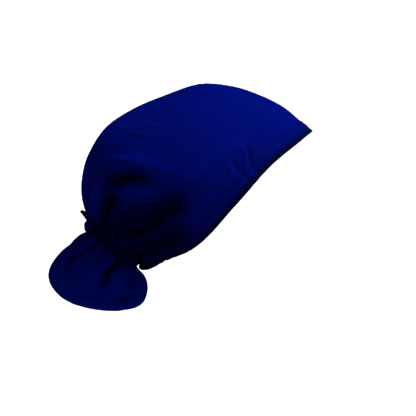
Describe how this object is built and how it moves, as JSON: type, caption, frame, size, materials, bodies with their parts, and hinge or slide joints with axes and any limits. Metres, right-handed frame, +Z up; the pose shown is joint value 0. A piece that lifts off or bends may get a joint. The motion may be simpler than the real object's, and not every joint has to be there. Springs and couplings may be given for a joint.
{
  "type": "scrub cap",
  "caption": "Soft stretch-knit scrub cap as worn, with a stitched hem, a set-in back panel and a tied hair pouch behind the neck.",
  "frame": {"origin": "the inside of the crown, where the top of the head sits", "axes": "+X the way the wearer faces, +Y the wearer's left, +Z up with the head level"},
  "size_m": [0.2432, 0.163, 0.2099],
  "materials": {
    "cap_knit": "smooth royal blue stretch knit with a slight sheen",
    "hem_knit": "the same knit, doubled and stitched, finely puckered",
    "edge_elastic": "dark navy ribbed edging elastic",
    "tie_cloth": "soft dark navy knit strap"
  },
  "bodies": {
    "root": {"front_panel": "cap_knit", "back_panel": "cap_knit", "hair_pouch": "cap_knit", "hem_band": "hem_knit", "rim_edging": "edge_elastic", "tie_wrap": "tie_cloth", "tie_knot": "tie_cloth", "tie_end_short": "tie_cloth", "tie_end_long": "tie_cloth"}
  },
  "joints": []
}
